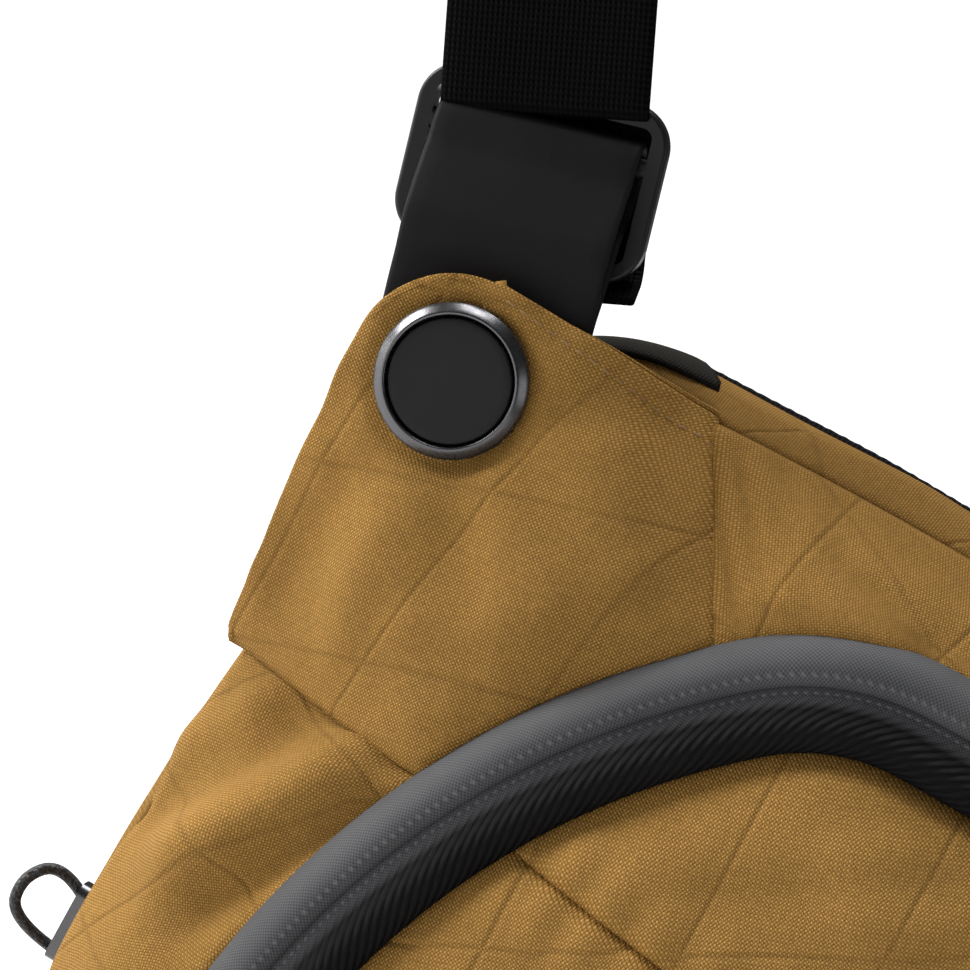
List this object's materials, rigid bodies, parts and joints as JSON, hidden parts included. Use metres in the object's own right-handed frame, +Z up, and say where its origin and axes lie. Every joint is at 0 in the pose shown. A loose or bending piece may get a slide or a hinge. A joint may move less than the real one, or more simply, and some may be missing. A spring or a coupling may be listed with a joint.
{
  "type": "sling bag",
  "caption": "Fabric sling bag with an arched covered zip, a fold-down front, corner wings, and a webbing shoulder loop on swivelling tabs held by round rivet caps.",
  "frame": {"origin": "centre of the bounding box's base, on the surface that the bag stands on", "axes": "+X to the bag's right as seen from the front, +Y towards the wearer, -Y out of its front, +Z up"},
  "size_m": [0.4858, 0.08, 0.5189],
  "materials": {
    "tan_fabric": "coarse plain weave",
    "zip_tape_fabric": "fine herringbone, covered zip",
    "black_webbing": "ribbed webbing",
    "black_tab": "smooth matte coated fabric",
    "binding_fabric": "ribbed binding tape",
    "back_mesh": "padded mesh",
    "lining_fabric": "fine smooth weave",
    "cord_fabric": "braided cord",
    "dark_metal": "satin gunmetal",
    "inset_black": "matte",
    "buckle_metal": "satin black",
    "zip_plastic": "semi-gloss",
    "board": "matte"
  },
  "bodies": {
    "bag": {"back_panel": "back_mesh", "back_stiffener": "board", "edge_binding": "binding_fabric", "rear_gusset": "tan_fabric", "top_panel": "tan_fabric", "left_corner_panel": "tan_fabric", "right_corner_panel": "tan_fabric", "left_side_panel": "tan_fabric", "right_side_panel": "tan_fabric", "bottom_panel": "tan_fabric", "front_base_panel": "tan_fabric", "main_zip_tape_outer": "zip_tape_fabric", "main_zip_coil_outer": "zip_plastic", "zip_end_stops": "zip_tape_fabric", "lining": "lining_fabric", "divider": "lining_fabric", "organiser_pocket": "lining_fabric", "left_strap_webbing": "black_webbing", "right_strap_webbing": "black_webbing", "side_pocket_tapes": "zip_tape_fabric", "side_pocket_coil": "zip_plastic", "side_pocket_pouch": "lining_fabric", "left_wing_front": "tan_fabric", "left_wing_back": "tan_fabric", "left_rivet_ring": "dark_metal", "left_cap_inset": "inset_black", "left_rivet_post": "dark_metal", "left_rivet_washer": "dark_metal", "right_wing_front": "tan_fabric", "right_wing_back": "tan_fabric", "right_rivet_ring": "dark_metal", "right_cap_inset": "inset_black", "right_rivet_post": "dark_metal", "right_rivet_washer": "dark_metal"},
    "flap": {"front_panel_upper": "tan_fabric", "front_panel_lower": "tan_fabric", "flap_lining": "lining_fabric", "main_zip_roll": "zip_tape_fabric", "main_zip_coil_inner": "zip_plastic"},
    "left_slider": {"left_zip_slider": "dark_metal"},
    "right_slider": {"right_zip_slider": "dark_metal"},
    "left_pull": {"left_zip_pull": "zip_plastic"},
    "right_pull": {"right_zip_pull": "zip_plastic"},
    "side_slider": {"side_pocket_slider": "dark_metal", "side_pull_cord": "cord_fabric"},
    "left_anchor": {"left_strap_tab": "black_tab", "left_strap_buckle": "buckle_metal", "left_strap_end": "black_webbing"},
    "right_anchor": {"right_strap_tab": "black_tab", "right_strap_buckle": "buckle_metal", "right_strap_end": "black_webbing"}
  },
  "joints": [
    {"name": "flap_fold", "type": "hinge", "parent": "bag", "child": "flap", "pos_m": [0, -0.027, 0.038], "axis": [1, 0, 0], "range_deg": [0, 85]},
    {"name": "left_slider_travel", "type": "hinge", "parent": "flap", "child": "left_slider", "pos_m": [0, -0.0318, -0.2855], "axis": [0, -1, 0], "range_deg": [0, 3.4]},
    {"name": "right_slider_travel", "type": "hinge", "parent": "flap", "child": "right_slider", "pos_m": [0, -0.0318, -0.2855], "axis": [0, 1, 0], "range_deg": [0, 3.4]},
    {"name": "left_pull_swing", "type": "hinge", "parent": "left_slider", "child": "left_pull", "pos_m": [-0.0095, -0.0369, 0.1644], "axis": [-0.9998, 0, -0.0211], "range_deg": [0, 110]},
    {"name": "right_pull_swing", "type": "hinge", "parent": "right_slider", "child": "right_pull", "pos_m": [0.0095, -0.0369, 0.1644], "axis": [-0.9998, 0, 0.0211], "range_deg": [0, 110]},
    {"name": "side_slider_travel", "type": "hinge", "parent": "bag", "child": "side_slider", "pos_m": [0.443, 0.021, 0.08], "axis": [0, 1, 0], "range_deg": [0, 9.4]},
    {"name": "left_anchor_swivel", "type": "hinge", "parent": "bag", "child": "left_anchor", "pos_m": [-0.149, -0.0074, 0.162], "axis": [0, 1, 0], "range_deg": [-16, 16]},
    {"name": "right_anchor_swivel", "type": "hinge", "parent": "bag", "child": "right_anchor", "pos_m": [0.149, -0.0074, 0.162], "axis": [0, 1, 0], "range_deg": [-16, 16]}
  ]
}
